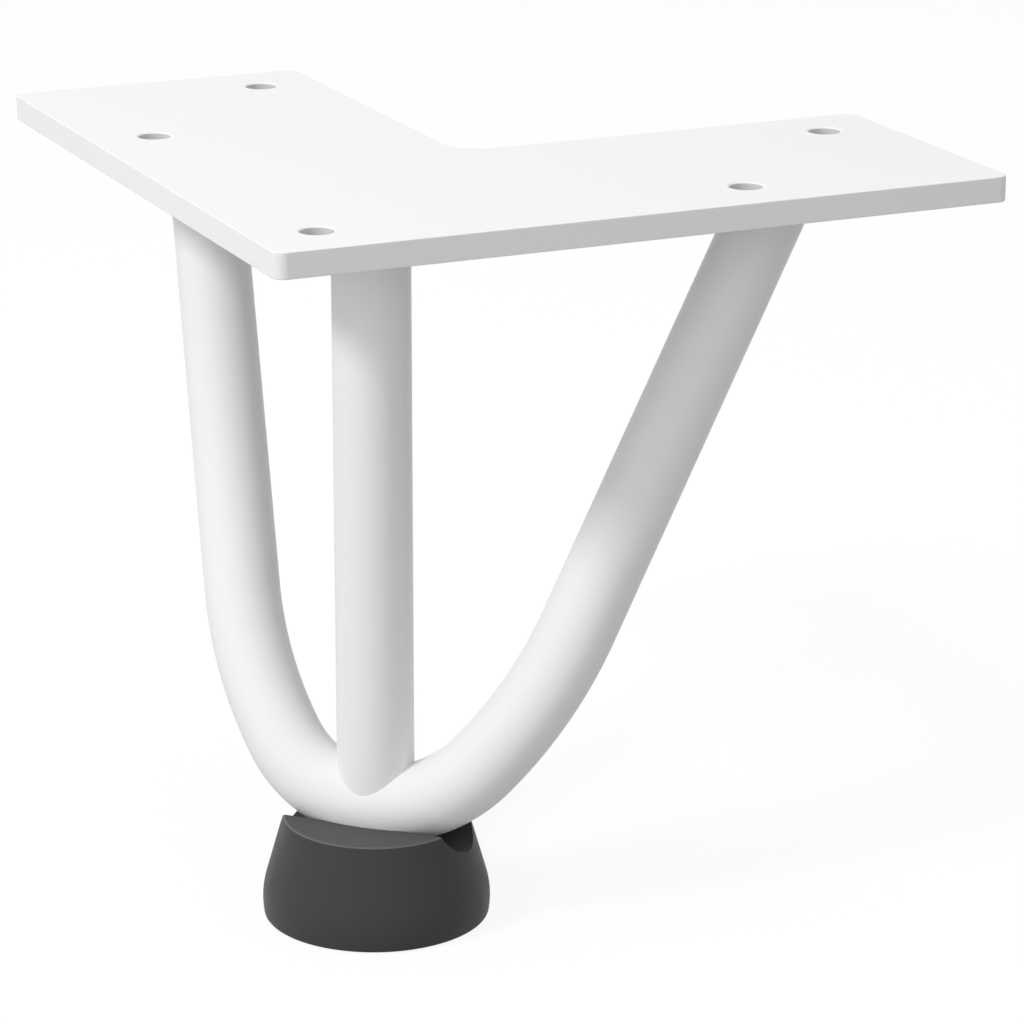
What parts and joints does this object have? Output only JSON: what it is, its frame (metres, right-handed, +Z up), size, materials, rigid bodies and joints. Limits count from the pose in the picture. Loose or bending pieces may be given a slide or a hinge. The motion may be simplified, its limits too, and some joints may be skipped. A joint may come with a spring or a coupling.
{
  "type": "hairpin table leg",
  "caption": "Short hairpin table leg: bent round rod and upright rod welded under an L-shaped screw plate, with a moulded foot cap.",
  "frame": {"origin": "on the plate's top face, where the centre lines of its two arms cross, right above the foot", "axes": "+Z up into the table top, +X along the right arm of the plate, +Y along its left arm; the leg is the same on both sides of the plane x = y"},
  "size_m": [0.12, 0.12, 0.1136],
  "materials": {
    "powder_coated_steel": "fine satin white powder coat",
    "foot_plastic": "matt anthracite moulded plastic"
  },
  "bodies": {
    "root": {"mounting_plate": "powder_coated_steel", "hairpin_rod": "powder_coated_steel", "straight_rod": "powder_coated_steel", "plate_welds": "powder_coated_steel", "bend_welds": "powder_coated_steel", "foot_cap": "foot_plastic"}
  },
  "joints": []
}
